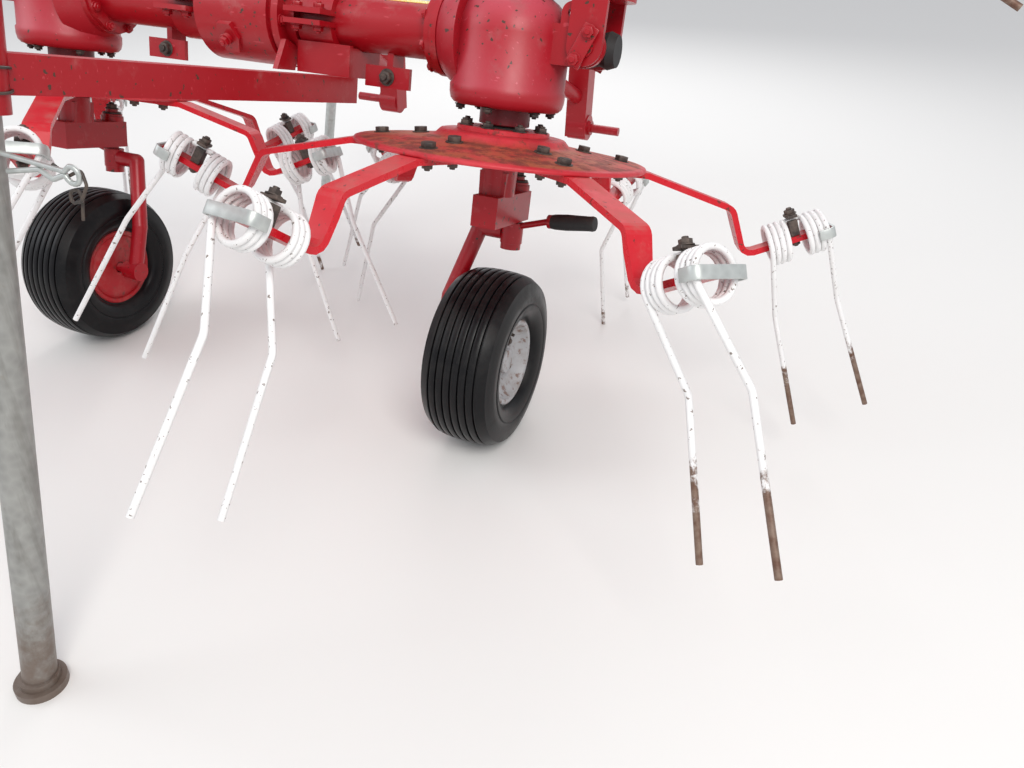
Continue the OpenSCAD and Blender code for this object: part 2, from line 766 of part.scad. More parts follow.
module leg(place) color("firebrick") station(place) {
    top = -bush_top - bush_len / 2;
    hub = [-leg_x, wheel_row[0], wheel_row[1]];
    difference() {
        union() {
            translate([0, pivot_ahead, 0]) along_z(bush_d, -bush_top - bush_len, -bush_top);
            bent_bar(
                [[-bush_d / 2 + 4, pivot_ahead, top], [-78, pivot_ahead, top],
                    [-leg_x, wheel_row[0] + 22, wheel_row[1] + 118], hub],
                leg_d
            );
            translate(hub) along_x(leg_d + 12, -leg_d / 2, leg_d / 2 + 6);
            translate([0, pivot_ahead, -bush_top - 12])
                rod([0, 0, 0], [90, -16, 30], 14);
            translate([0, pivot_ahead, -bush_top - 12])
                rod([90, -16, 30], [196, -30, 44], 30);
        }
        translate([0, pivot_ahead, 0]) along_z(pivot_d + 2 * play, -bush_top - bush_len - 1, -bush_top + 1);
    }
    translate(hub) along_x(axle_d, leg_d / 2, leg_x + 34);
}

module tyre(place) color("black") wheel_frame(place) rotate([0, 90, 0]) rotate_extrude() {
    bead = rim_d / 2 + 0.3;
    half = tyre_w / 2;
    crown = tyre_d / 2;
    lip = 62;
    polygon([
        [bead, -lip], [bead + 11, -lip], [bead + 11, -lip - 9], [bead + 26, -half + 3], [bead + 56, -half],
        [crown - 18, -half + 5], [crown - 5, -half + 22], [crown, -half + 52],
        [crown, half - 52], [crown - 5, half - 22], [crown - 18, half - 5], [bead + 56, half],
        [bead + 26, half - 3], [bead + 11, lip + 9], [bead + 11, lip], [bead, lip]
    ]);
}

module rim(place) color("gainsboro") wheel_frame(place) rotate([0, 90, 0]) rotate_extrude() {
    barrel_r = rim_d / 2;
    bore = axle_d / 2 + play;
    polygon([
        [bore, -50], [bore + 18, -50], [bore + 18, -34], [barrel_r - 22, -40], [barrel_r - 8, -66],
        [barrel_r + 9, -66], [barrel_r + 9, -62.3], [barrel_r, -62.3],
        [barrel_r, 62.3], [barrel_r + 9, 62.3], [barrel_r + 9, 66], [barrel_r - 8, 66],
        [barrel_r - 14, 20], [bore + 24, 14], [bore + 22, 40], [bore + 14, 48], [0, 48], [0, 36], [bore, 36]
    ]);
}

center_gearbox();
inner_tubes();
tube_clamps();
inner_gearboxes();
rubber_boots();
inner_posts();
rear_beam();
headstock();
rear_stand();
front_stand();
input_shaft();
wing_beam(1);  // wing_beam_right
wing_beam(-1);  // wing_beam_left
wing_post(1);  // wing_post_right
wing_post(-1);  // wing_post_left
barrel(1);  // barrel_right
barrel(-1);  // barrel_left
rod_with_eye(1);  // rod_right
rod_with_eye(-1);  // rod_left
disc(INNER_RIGHT);  // disc_inner_right
disc(INNER_LEFT);  // disc_inner_left
disc(OUTER_RIGHT);  // disc_outer_right
disc(OUTER_LEFT);  // disc_outer_left
arms(INNER_RIGHT);  // arms_inner_right
arms(INNER_LEFT);  // arms_inner_left
arms(OUTER_RIGHT);  // arms_outer_right
arms(OUTER_LEFT);  // arms_outer_left
tines(INNER_RIGHT);  // tines_inner_right
tines(INNER_LEFT);  // tines_inner_left
tines(OUTER_RIGHT);  // tines_outer_right
tines(OUTER_LEFT);  // tines_outer_left
clips(INNER_RIGHT);  // clips_inner_right
clips(INNER_LEFT);  // clips_inner_left
clips(OUTER_RIGHT);  // clips_outer_right
clips(OUTER_LEFT);  // clips_outer_left
leg(INNER_RIGHT);  // leg_inner_right
leg(INNER_LEFT);  // leg_inner_left
leg(OUTER_RIGHT);  // leg_outer_right
leg(OUTER_LEFT);  // leg_outer_left
tyre(INNER_RIGHT);  // tyre_inner_right
tyre(INNER_LEFT);  // tyre_inner_left
tyre(OUTER_RIGHT);  // tyre_outer_right
tyre(OUTER_LEFT);  // tyre_outer_left
rim(INNER_RIGHT);  // rim_inner_right
rim(INNER_LEFT);  // rim_inner_left
rim(OUTER_RIGHT);  // rim_outer_right
rim(OUTER_LEFT);  // rim_outer_left
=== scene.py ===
import json
import math

import bpy
from mathutils import Matrix, Vector


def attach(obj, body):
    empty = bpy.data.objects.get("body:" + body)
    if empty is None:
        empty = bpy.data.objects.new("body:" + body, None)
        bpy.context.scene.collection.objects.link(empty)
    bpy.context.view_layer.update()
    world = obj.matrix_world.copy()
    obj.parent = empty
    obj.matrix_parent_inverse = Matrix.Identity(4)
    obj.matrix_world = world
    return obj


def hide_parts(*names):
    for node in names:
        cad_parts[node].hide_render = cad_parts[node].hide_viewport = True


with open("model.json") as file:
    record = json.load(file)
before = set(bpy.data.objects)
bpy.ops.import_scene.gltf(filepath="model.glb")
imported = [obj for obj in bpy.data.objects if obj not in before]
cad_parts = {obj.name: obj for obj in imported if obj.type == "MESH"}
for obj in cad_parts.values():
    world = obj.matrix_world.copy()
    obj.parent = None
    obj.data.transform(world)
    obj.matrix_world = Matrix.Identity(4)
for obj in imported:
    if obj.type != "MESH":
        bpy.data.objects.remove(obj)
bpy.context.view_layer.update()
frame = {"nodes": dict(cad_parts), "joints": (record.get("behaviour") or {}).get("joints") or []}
joints = {joint["name"]: joint for joint in frame["joints"]}
nodes = frame["nodes"]
print("frame loaded:", len(nodes), "nodes")

places = ["inner_right", "inner_left", "outer_right", "outer_left"]


# Frames of the machine: the leaning row of rotors, and each rotor's own station
rowForward = Vector(joints["input_spin"]["axis"]).normalized()
rowUp = Vector((0, -rowForward.z, rowForward.y))
beamMiddle = Vector(joints["input_spin"]["pos_m"])


def frameOf(x, y, z, at):
    found = Matrix((x, y, z)).transposed().to_4x4()
    found.translation = at
    return found


rowFrame = frameOf(Vector((1, 0, 0)), rowForward, rowUp, beamMiddle)
rows = [rowFrame, rowFrame @ Matrix.Scale(-1, 4, (1, 0, 0))]


def stationOf(place):
    spin = joints["spin_" + place]
    across = Vector(joints["roll_" + place]["axis"])
    return frameOf(across, rowForward, Vector(spin["axis"]), Vector(spin["pos_m"]))


stations = {place: stationOf(place) for place in places}
outerBody = {"right": "wing_right", "left": "wing_left"}


def carrierOf(place):
    return "base" if place.startswith("inner") else outerBody[place.split("_")[1]]


# Camera: a fit of the photograph, turned left of straight ahead and looking down
camera = {"at": (1.2454, -1.6393, 1.1546), "left": 21.61, "down": 31.92, "roll": 2.31, "focal": 28.81,
          "near": 0.02}

bpy.ops.object.select_all(action="DESELECT")
bpy.ops.object.camera_add(location=camera["at"])
eye = bpy.context.object
left, down, roll = (math.radians(camera[k]) for k in ("left", "down", "roll"))
ahead = Vector((-math.sin(left) * math.cos(down), math.cos(left) * math.cos(down), -math.sin(down)))
flat = Vector((math.cos(left), math.sin(left), 0))
lift = flat.cross(ahead)
rightWay = flat * math.cos(roll) + lift * math.sin(roll)
upWay = lift * math.cos(roll) - flat * math.sin(roll)
eye.matrix_world = frameOf(rightWay, upWay, -ahead, Vector(camera["at"]))
eye.data.lens = camera["focal"]
eye.data.clip_start = camera["near"]
bpy.context.scene.camera = eye


# Shader maths: a socket that adds its own Math nodes
class Value:
    def __init__(self, paint, socket):
        self.paint = paint
        self.socket = socket

    def math(self, operation, *others):
        return self.paint.add("ShaderNodeMath", {"operation": operation}, [self, *others])

    def __add__(self, other):
        return self.math("ADD", other)

    def __mul__(self, other):
        return self.math("MULTIPLY", other)

    def __sub__(self, other):
        return self.math("SUBTRACT", other)

    def __rsub__(self, other):
        return self.paint.add("ShaderNodeMath", {"operation": "SUBTRACT"}, [other, self])

    def limited(self):
        return self.math("MINIMUM", 1).math("MAXIMUM", 0)


# A material built by calls: inputs are sockets, numbers, or colours of three numbers
class Paint:
    def __init__(self, name):
        self.material = bpy.data.materials.new(name)
        self.material.use_nodes = True
        self.tree = self.material.node_tree
        self.surface = self.tree.nodes["Principled BSDF"]
        self.coords = self.tree.nodes.new("ShaderNodeTexCoord")

    def feed(self, socket, value):
        if isinstance(value, Value):
            self.tree.links.new(value.socket, socket)
        elif socket.type == "RGBA" and len(value) == 3:
            socket.default_value = (*value, 1)
        else:
            socket.default_value = value

    def add(self, kind, settings, inputs, output=0):
        made = self.tree.nodes.new(kind)
        for key, value in settings.items():
            setattr(made, key, value)
        pairs = inputs.items() if isinstance(inputs, dict) else enumerate(inputs)
        for key, value in pairs:
            self.feed(made.inputs[key], value)
        return Value(self, made.outputs[output])

    def at(self, kind="Object"):
        return Value(self, self.coords.outputs[kind])

    def noise(self, scale, detail, rough=0.55, stretch=None):
        where = self.at()
        if stretch:
            where = self.add("ShaderNodeMapping", {}, {"Vector": where, "Scale": stretch})
        return self.add("ShaderNodeTexNoise", {}, {
            "Vector": where, "Scale": scale, "Detail": detail, "Roughness": rough})

    def cells(self, scale):
        return self.add("ShaderNodeTexVoronoi", {}, {"Vector": self.at(), "Scale": scale})

    def step(self, value, low, high):
        settings = {"interpolation_type": "SMOOTHSTEP"}
        return self.add("ShaderNodeMapRange", settings, [value, low, high, 0.0, 1.0])

    def mix(self, factor, first, second):
        return self.add("ShaderNodeMix", {"data_type": "RGBA"}, {0: factor, 6: first, 7: second}, output=2)

    def part(self, vector, axis):
        return self.add("ShaderNodeSeparateXYZ", {}, [vector], output=axis)

    def attribute(self, name):
        return self.add("ShaderNodeAttribute", {"attribute_name": name}, [], output=2)

    def bump(self, height, strength, depth):
        return self.add("ShaderNodeBump", {}, {"Strength": strength, "Distance": depth, "Height": height})

    def set(self, **sockets):
        for key, value in sockets.items():
            self.feed(self.surface.inputs[key.replace("_", " ")], value)
        return self.material


# Old red paint: lighter above, partly sun fade and partly a painted highlight, dusty, scratched and chipped
# down to rust
def oldPaint(name, deep, sunFadedAndLit, dust, sunFadeAndHighlightAmount=0.6, chips=1.0, gloss=0.42):
    p = Paint(name)
    upward = p.step(p.part(p.at("Normal"), 2), 0.15, 1.0)
    patches = p.noise(3.1, 5, 0.6)
    # Upward faces lighten towards the lit colour: partly sun fade, partly a painted highlight of the light
    # from above
    sunFadeAndHighlight = (upward * (patches * 0.9 + 0.35) * sunFadeAndHighlightAmount + p.noise(9.0, 3) * 0.16).limited()
    colour = p.mix(sunFadeAndHighlight, deep, sunFadedAndLit)
    dirt = p.step(p.noise(17, 6, 0.68) + upward * 0.16, 0.56, 0.84)
    colour = p.mix(dirt * 0.55, colour, dust)
    scratch = p.step(p.noise(26, 3, 0.5, stretch=(1.0, 9.0, 4.0)), 0.67, 0.72)
    colour = p.mix(scratch * 0.35, colour, tuple(min(1, v * 1.25 + 0.05) for v in sunFadedAndLit))
    speck = p.step(p.noise(95, 2, 0.4) + p.noise(6.0, 3) * 0.32, 0.865, 0.895)
    colour = p.mix(speck * chips, colour, (0.07, 0.028, 0.018))
    rough = dirt * 0.25 + p.noise(40, 4) * 0.14 + (gloss - 0.05) + upward * 0.1
    return p.set(Base_Color=colour, Roughness=rough, Specular_IOR_Level=0.45,
                 Normal=p.bump(p.noise(120, 4) * 0.5 + speck * -0.6 + scratch * -0.2, 0.25, 0.0007))


# The discs: red at the hat and the rim, with an orange patina of dust and dark stains on the flat between
def discPaint():
    p = Paint("discPaint")
    patches = p.noise(5.5, 6, 0.66)
    colour = p.mix(p.step(patches, 0.35, 0.7), (0.48, 0.010, 0.022), (0.60, 0.050, 0.062))
    ring = p.attribute("ring")
    flat = p.step(ring + (p.noise(14, 4) - 0.5) * 0.10, 0.42, 0.52) * (1.0 - p.step(ring, 0.94, 0.975))
    dust = p.step(p.noise(12, 7, 0.7), 0.34, 0.62)
    colour = p.mix(flat * (dust * 0.75 + 0.15), colour, (0.36, 0.105, 0.045))
    stain = p.step(p.noise(26, 7, 0.72) + p.noise(4.5, 3) * 0.35, 0.64, 0.80)
    colour = p.mix(stain * (flat * 0.6 + 0.12), colour, (0.115, 0.026, 0.024))
    rust = p.step(p.noise(70, 5, 0.6) + p.noise(8, 4) * 0.4, 0.8, 0.9)
    colour = p.mix(rust * 0.75, colour, (0.13, 0.045, 0.03))
    return p.set(Base_Color=colour, Roughness=flat * 0.18 + stain * 0.1 + 0.42, Specular_IOR_Level=0.35,
                 Normal=p.bump(dust + rust * 0.5 + stain * 0.3, 0.3, 0.0008))


# White wire: chipped, with the lower part of each finger worn to brown steel
def tinePaint():
    p = Paint("tinePaint")
    worn = p.attribute("worn")
    edge = worn + (p.noise(34, 5, 0.7) - 0.5) * 0.7
    bare = p.step(edge, 0.52, 0.64)
    grey = p.noise(15, 4, 0.6)
    colour = p.mix(grey, (0.74, 0.73, 0.72), (0.90, 0.90, 0.90))
    chip = p.step(p.noise(150, 3, 0.55), 0.63, 0.68)
    colour = p.mix(chip * 0.85, colour, (0.12, 0.075, 0.05))
    steel = p.mix(p.step(p.noise(60, 5, 0.6), 0.3, 0.7), (0.13, 0.062, 0.04), (0.24, 0.17, 0.13))
    colour = p.mix(bare, colour, steel)
    return p.set(Base_Color=colour, Roughness=bare * 0.12 + 0.42, Metallic=bare * 0.35,
                 Normal=p.bump(chip * -1.0 + bare * p.noise(220, 3), 0.35, 0.0006))


def zincSteel(name, dark=(0.36, 0.38, 0.37), pale=(0.62, 0.65, 0.63), rustLow=None, metal=0.6):
    p = Paint(name)
    grains = p.cells(75)
    tone = p.noise(9, 4)
    colour = p.mix((grains * 0.5 + tone * 0.6).limited(), dark, pale)
    stain = p.step(p.noise(30, 6, 0.7), 0.58, 0.74)
    colour = p.mix(stain * 0.4, colour, (0.22, 0.19, 0.15))
    if rustLow:
        streaks = p.step(p.noise(42, 5, 0.6, stretch=(1.0, 1.0, 0.08)), 0.46, 0.66)
        colour = p.mix(streaks * 0.4, colour, (0.13, 0.12, 0.105))
        height = p.part(p.at(), 2)
        rust = p.step((rustLow - height) * (1 / rustLow) + (p.noise(28, 5, 0.7) - 0.5) * 1.1, 0.35, 0.95)
        colour = p.mix(rust * 0.75, colour, (0.12, 0.070, 0.045))
    return p.set(Base_Color=colour, Roughness=stain * 0.2 + 0.42, Metallic=metal,
                 Normal=p.bump(grains + stain, 0.12, 0.0005))


def darkSteel(name, colourA, colourB, metal=0.6, rough=0.5):
    p = Paint(name)
    patches = p.step(p.noise(45, 6, 0.65), 0.35, 0.68)
    return p.set(Base_Color=p.mix(patches, colourA, colourB), Roughness=patches * 0.2 + rough, Metallic=metal,
                 Normal=p.bump(p.noise(190, 4), 0.3, 0.0006))


def rubber(name, dark, dusty, amount, rough=0.62, shine=0.4):
    p = Paint(name)
    dust = p.step(p.noise(13, 6, 0.68) + p.step(p.part(p.at("Normal"), 2), 0.1, 1.0) * 0.12, 0.45, 0.8)
    fine = p.noise(160, 3)
    colour = p.mix((dust * amount + fine * 0.08).limited(), dark, dusty)
    return p.set(Base_Color=colour, Roughness=dust * 0.25 + rough, Specular_IOR_Level=shine,
                 Normal=p.bump(fine + dust * 0.4, 0.22, 0.0006))


def wheelPaint(name, base, dirt, rust):
    p = Paint(name)
    dust = p.step(p.noise(16, 6, 0.7), 0.42, 0.72)
    colour = p.mix(dust * 0.65, base, dirt)
    spots = p.step(p.noise(55, 6, 0.62) + p.noise(7, 3) * 0.4, 0.72, 0.86)
    colour = p.mix(spots * 0.8, colour, rust)
    return p.set(Base_Color=colour, Roughness=dust * 0.2 + 0.5, Metallic=0.1,
                 Normal=p.bump(spots + p.noise(120, 3) * 0.4, 0.3, 0.0007))


def labelFoil():
    p = Paint("labelFoil")
    worn = p.step(p.noise(55, 5, 0.7), 0.6, 0.75)
    colour = p.mix(worn * 0.5, (0.74, 0.50, 0.03), (0.60, 0.50, 0.30))
    return p.set(Base_Color=colour, Roughness=worn * 0.2 + 0.4)


paints = {
    # The second colour of each old paint is its lighter tone for upward faces, partly sun fade and partly
    # painted highlight
    "frame": oldPaint("framePaint", (0.33, 0.001, 0.006), (0.50, 0.035, 0.055), (0.40, 0.16, 0.15),
                      0.4, 1.0, 0.30),
    "arm": oldPaint("armPaint", (0.55, 0.001, 0.010), (0.66, 0.025, 0.04), (0.44, 0.14, 0.12),
                    0.3, 0.8, 0.26),
    "casting": oldPaint("castingPaint", (0.36, 0.003, 0.010), (0.58, 0.10, 0.14), (0.32, 0.11, 0.11),
                        0.8, 1.5, 0.36),
    # The next paint, for the neck under each housing, is a darkened copy of the casting red: painted shade,
    # with blotches of black grime
    "grimy": oldPaint("grimyPaint", (0.17, 0.003, 0.008), (0.30, 0.03, 0.05), (0.030, 0.016, 0.016),
                      0.4, 2.5, 0.40),
    "disc": discPaint(),
    "tine": tinePaint(),
    "zinc": zincSteel("zincSteel"),
    "pipe": zincSteel("standPipe", (0.19, 0.19, 0.18), (0.36, 0.36, 0.34), 0.34, 0.3),
    "bolt": darkSteel("boltSteel", (0.055, 0.045, 0.042), (0.16, 0.125, 0.105)),
    "blackened": darkSteel("blackSteel", (0.035, 0.03, 0.028), (0.10, 0.075, 0.06), 0.3, 0.45),
    "rubber": rubber("bootRubber", (0.012, 0.012, 0.013), (0.12, 0.10, 0.085), 0.35),
    "tyre": rubber("tyreRubber", (0.0035, 0.0035, 0.0045), (0.030, 0.028, 0.026), 0.45, 0.30, 0.22),
    "rimSilver": wheelPaint("rimSilver", (0.40, 0.40, 0.41), (0.26, 0.22, 0.19), (0.17, 0.085, 0.055)),
    "rimRed": wheelPaint("rimRed", (0.40, 0.004, 0.010), (0.40, 0.10, 0.09), (0.14, 0.04, 0.03)),
    "barrel": oldPaint("barrelPaint", (0.03, 0.03, 0.032), (0.09, 0.085, 0.08), (0.2, 0.17, 0.14)),
    "chrome": darkSteel("rodChrome", (0.68, 0.68, 0.69), (0.60, 0.60, 0.60), 1.0, 0.12),
    "label": labelFoil(),
    "grip": rubber("gripRubber", (0.015, 0.015, 0.016), (0.10, 0.09, 0.08), 0.4),
}

finishOf = {
    "tyre": "tyre", "rim": "rimSilver", "disc": "disc", "arms": "arm", "tines": "tine", "clips": "zinc",
    "rear_stand": "pipe", "front_stand": "zinc", "barrel": "barrel", "rod": "chrome", "input_shaft": "bolt",
    "rubber_boots": "rubber",
}
for name, thing in nodes.items():
    key = next((k for k in finishOf if name.startswith(k)), None)
    paint = paints[finishOf[key]] if key else paints["frame"]
    for slot in thing.material_slots:
        slot.link = "OBJECT"
        slot.material = paint
print("materials made:", len(paints))


# Small helpers for modelling by hand in code
def deselect():
    bpy.ops.object.select_all(action="DESELECT")


def activate(thing):
    deselect()
    thing.select_set(True)
    bpy.context.view_layer.objects.active = thing


def applyAll(thing):
    activate(thing)
    for modifier in list(thing.modifiers):
        bpy.ops.object.modifier_apply(modifier=modifier.name)


def bevelled(thing, width, segments=2, angle=30):
    modifier = thing.modifiers.new("Bevel", "BEVEL")
    modifier.width = width
    modifier.segments = segments
    modifier.limit_method = "ANGLE"
    modifier.angle_limit = math.radians(angle)
    applyAll(thing)
    return thing


def smooth(thing, angle):
    activate(thing)
    bpy.ops.object.shade_smooth_by_angle(angle=math.radians(angle))
    return thing


# Puts a copy of a model at a place, its place going into its mesh
def copied(model, matrix, name=None):
    made = model.copy()
    made.data = model.data.copy()
    made.data.transform(matrix @ model.matrix_basis)
    if matrix.determinant() < 0:
        made.data.flip_normals()
    made.matrix_basis = Matrix.Identity(4)
    if name:
        made.name = name
    bpy.context.scene.collection.objects.link(made)
    return made


def joined(things, name):
    deselect()
    for thing in things:
        thing.select_set(True)
    bpy.context.view_layer.objects.active = things[0]
    if len(things) > 1:
        bpy.ops.object.join()
    made = bpy.context.object
    made.name = name
    made.data.name = name
    return made


def dropped(*models):
    for model in models:
        bpy.data.objects.remove(model)


def dressed(thing, paint, body, slot, *replaced):
    thing.data.materials.clear()
    thing.data.materials.append(paints[paint])
    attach(thing, body)
    if replaced:
        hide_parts(*replaced)


def cylinder(radius, depth, at, sides, bevel=0.0, segments=2):
    deselect()
    bpy.ops.mesh.primitive_cylinder_add(vertices=sides, radius=radius, depth=depth, location=at)
    bpy.ops.object.transform_apply(location=True, rotation=True, scale=True)
    made = bpy.context.object
    return bevelled(made, bevel, segments) if bevel else made


def block(size, at, bevel):
    deselect()
    bpy.ops.mesh.primitive_cube_add(size=1, location=at)
    bpy.context.object.scale = size
    bpy.ops.object.transform_apply(location=True, rotation=True, scale=True)
    return bevelled(bpy.context.object, bevel)


# A sheet of faces, thickened about its middle
def sheet(name, corners, faces, thick):
    mesh = bpy.data.meshes.new(name)
    mesh.from_pydata(corners, [], faces)
    made = bpy.data.objects.new(name, mesh)
    bpy.context.scene.collection.objects.link(made)
    solid = made.modifiers.new("Solidify", "SOLIDIFY")
    solid.thickness = thick
    solid.offset = 0
    applyAll(made)
    return made


# A profile of (radius, height) points turned about z
def turned(points, steps, name):
    mesh = bpy.data.meshes.new(name)
    mesh.from_pydata([(r, 0, z) for r, z in points], [(i, i + 1) for i in range(len(points) - 1)], [])
    made = bpy.data.objects.new(name, mesh)
    bpy.context.scene.collection.objects.link(made)
    activate(made)
    bpy.ops.object.mode_set(mode="EDIT")
    bpy.ops.mesh.select_all(action="SELECT")
    bpy.ops.mesh.spin(steps=steps, angle=math.tau, center=(0, 0, 0), axis=(0, 0, 1))
    bpy.ops.mesh.select_all(action="SELECT")
    bpy.ops.mesh.remove_doubles(threshold=0.00002)
    bpy.ops.mesh.normals_make_consistent(inside=False)
    bpy.ops.object.mode_set(mode="OBJECT")
    return made


# A round wire through points, as a curve made into a mesh
def wire(points, radius, name, cyclic=False):
    curve = bpy.data.curves.new(name, "CURVE")
    curve.dimensions = "3D"
    curve.bevel_depth = radius
    curve.bevel_resolution = 2
    curve.use_fill_caps = True
    spline = curve.splines.new("POLY")
    spline.points.add(len(points) - 1)
    for point, at in zip(spline.points, points):
        point.co = (*at, 1)
    spline.use_cyclic_u = cyclic
    made = bpy.data.objects.new(name, curve)
    bpy.context.scene.collection.objects.link(made)
    activate(made)
    bpy.ops.object.convert(target="MESH")
    return bpy.context.object


# Points along an arc that rounds the corner of a line
def softCorner(a, b, c, radius, steps):
    a, b, c = Vector(a), Vector(b), Vector(c)
    u, w = (a - b).normalized(), (c - b).normalized()
    half = u.angle(w) / 2
    reach = radius / math.tan(half)
    middle = b + (u + w).normalized() * (radius / math.sin(half))
    start, end = b + u * reach - middle, b + w * reach - middle
    turn = start.angle(end)
    return [middle + (start * math.sin((1 - t) * turn) + end * math.sin(t * turn)) / math.sin(turn)
            for t in (i / steps for i in range(steps + 1))]


def softLine(points, radius, steps):
    out = [Vector(points[0])]
    for i in range(1, len(points) - 1):
        out += softCorner(points[i - 1], points[i], points[i + 1], radius, steps)
    return out + [Vector(points[-1])]


# A point on a ring about z, and one on a ring about x
def onRing(radius, angle, z):
    return (radius * math.cos(angle), radius * math.sin(angle), z)


def roundTube(x, radius, angle):
    return (x, radius * math.cos(angle), radius * math.sin(angle))


# Fasteners, each modelled once: a hex bolt with its washer, standing on z = 0
fastener = {"washerWide": 0.72, "washerThick": 0.0022, "edge": 0.035, "shank": 0.29}


def hexBolt(across, head, shank=0.0):
    low = fastener["washerThick"]
    wide = across * fastener["washerWide"]
    parts = [cylinder(wide, low, (0, 0, low / 2), sides=28, bevel=0.0005, segments=1)]
    nut = cylinder(across / math.sqrt(3), head, (0, 0, low + head / 2), sides=6)
    parts.append(bevelled(nut, across * fastener["edge"]))
    if shank:
        middle = (0, 0, low + head + shank / 2)
        parts.append(cylinder(across * fastener["shank"], shank, middle, sides=16, bevel=0.0008, segments=1))
    return smooth(joined(parts, "hexBolt"), 30)


bolt16 = hexBolt(0.024, 0.010, 0.005)
bolt12 = hexBolt(0.019, 0.008, 0.004)
bolt10 = hexBolt(0.016, 0.0065, 0.003)
flatBolt = hexBolt(0.024, 0.0095)


def lookAlong(at, way, spin=0.0):
    turn = Vector(way).normalized().to_track_quat("Z", "Y").to_matrix().to_4x4()
    return Matrix.Translation(at) @ turn @ Matrix.Rotation(spin, 4, "Z")


# Tines: each is one wire, wound out from the clamp in two coils and let go into two kneed fingers
tine = {"wire": 0.0059, "mean": 0.0397, "gap": 0.026, "start": 0.00625, "pitch": 0.0119, "turns": 3,
        "steps": 84, "lean": 25, "top": 0.170, "low": 0.268, "kneeOut": 0.010, "outward": 3,
        "kneeBend": 0.03, "wornFrom": 0.045, "wornOver": 0.36}
seat = {"radius": 0.636, "drop": 0.315, "rise": 25}


def halfTine():
    lean = math.radians(tine["lean"])
    start = math.radians(90)
    turn = math.pi + lean - start + tine["turns"] * math.tau
    first = tine["gap"] / 2 + tine["start"]
    steps = tine["steps"]
    coil = []
    for i in range(steps + 1):
        angle = start + turn * i / steps
        x = first + tine["pitch"] * turn / math.tau * i / steps
        coil.append(Vector(roundTube(x, tine["mean"], angle)))
    way = Vector((tine["kneeOut"], tine["top"] * math.sin(lean), -tine["top"] * math.cos(lean))).normalized()
    knee = coil[-1] + way * tine["top"]
    outward = math.radians(tine["outward"])
    tip = knee + Vector((tine["low"] * math.sin(outward), 0, -tine["low"] * math.cos(outward)))
    fingers = softLine([coil[-1], knee, tip], tine["kneeBend"], 6)[1:]
    return coil + fingers


def tineModel():
    half = halfTine()
    mirrored = [Vector((-p.x, p.y, p.z)) for p in reversed(half)]
    made = wire(mirrored + half, tine["wire"], "tine")
    worn = made.data.attributes.new("worn", "FLOAT", "POINT")
    for vertex, value in zip(made.data.vertices, worn.data):
        value.value = max(0.0, min(1.0, (-vertex.co.z - tine["wornFrom"]) / tine["wornOver"]))
    return smooth(made, 60)


phases = {"inner_right": 20, "inner_left": 50, "outer_right": 190, "outer_left": 160}


def armFrames(place):
    flip = Matrix.Identity(4) if place.startswith("inner") else Matrix.Scale(-1, 4, (0, 1, 0))
    turns = [Matrix.Rotation(math.radians(phases[place] + 60 * i), 4, "Z") for i in range(6)]
    return [stations[place] @ turn @ flip for turn in turns]


seatFrame = (Matrix.Translation((seat["radius"], 0, -seat["drop"]))
             @ Matrix.Rotation(-math.radians(seat["rise"]), 4, "Y"))

oneTine = tineModel()
wearOfArm = [0.84, 0.62, 0.50, 0.34, 0.38, 0.88]


def wornTine(matrix, wear):
    made = copied(oneTine, matrix)
    for value in made.data.attributes["worn"].data:
        value.value *= wear
    return made


for place in places:
    wires = [wornTine(arm @ seatFrame, wear) for arm, wear in zip(armFrames(place), wearOfArm)]
    dressed(joined(wires, "tineWires_" + place), "tine", "rotor_" + place, "tine_white", "tines_" + place)
dropped(oneTine)
print("tines wound")


# Clips on each arm: a clamp saddle over the middle wire with its bolt, and a strap round the outer coil
clip = {"strapWide": 0.021, "strapThick": 0.005, "inside": 0.048, "leg": 0.030, "end": 0.068, "corner": 0.013,
        "saddle": (0.021, 0.036, 0.006), "post": (0.019, 0.026), "postLow": 0.012, "nut": -0.006}


def strapModel():
    half = clip["inside"] + clip["strapThick"] / 2
    end = clip["end"] + clip["strapThick"] / 2
    foot = clip["end"] - clip["leg"]
    line = softLine([(foot, -half, 0), (end, -half, 0), (end, half, 0), (foot, half, 0)], clip["corner"], 6)
    count = len(line)
    corners = [(p.x, p.y, z) for z in (-clip["strapWide"] / 2, clip["strapWide"] / 2) for p in line]
    faces = [(i, i + 1, i + 1 + count, i + count) for i in range(count - 1)]
    made = sheet("strap", corners, faces, clip["strapThick"])
    bevelled(made, 0.0009, 2, 50)
    return smooth(made, 40)


def saddleModel():
    top = tine["mean"] + tine["wire"]
    thick = clip["saddle"][2]
    saddle = block(clip["saddle"], (0, 0, top + thick / 2), bevel=0.0012)
    post = block((*clip["post"], top - clip["postLow"]), (0, 0, top / 2), bevel=0.001)
    bolt = copied(bolt12, lookAlong((0, 0, top + thick), (0, 0, 1), 0.3))
    nut = copied(bolt10, lookAlong((0, 0, clip["nut"]), (0, 0, -1)))
    return joined([saddle, post, bolt, nut], "saddle")


strap = strapModel()
saddle = saddleModel()
for place in places:
    frames = [arm @ seatFrame for arm in armFrames(place)]
    straps = joined([copied(strap, f) for f in frames], "tineStraps_" + place)
    dressed(straps, "zinc", "rotor_" + place, "galvanised", "clips_" + place)
    small = joined([copied(saddle, f) for f in frames], "tineSaddles_" + place)
    dressed(small, "bolt", "rotor_" + place, "dark_steel")
dropped(strap, saddle)
print("clips made")


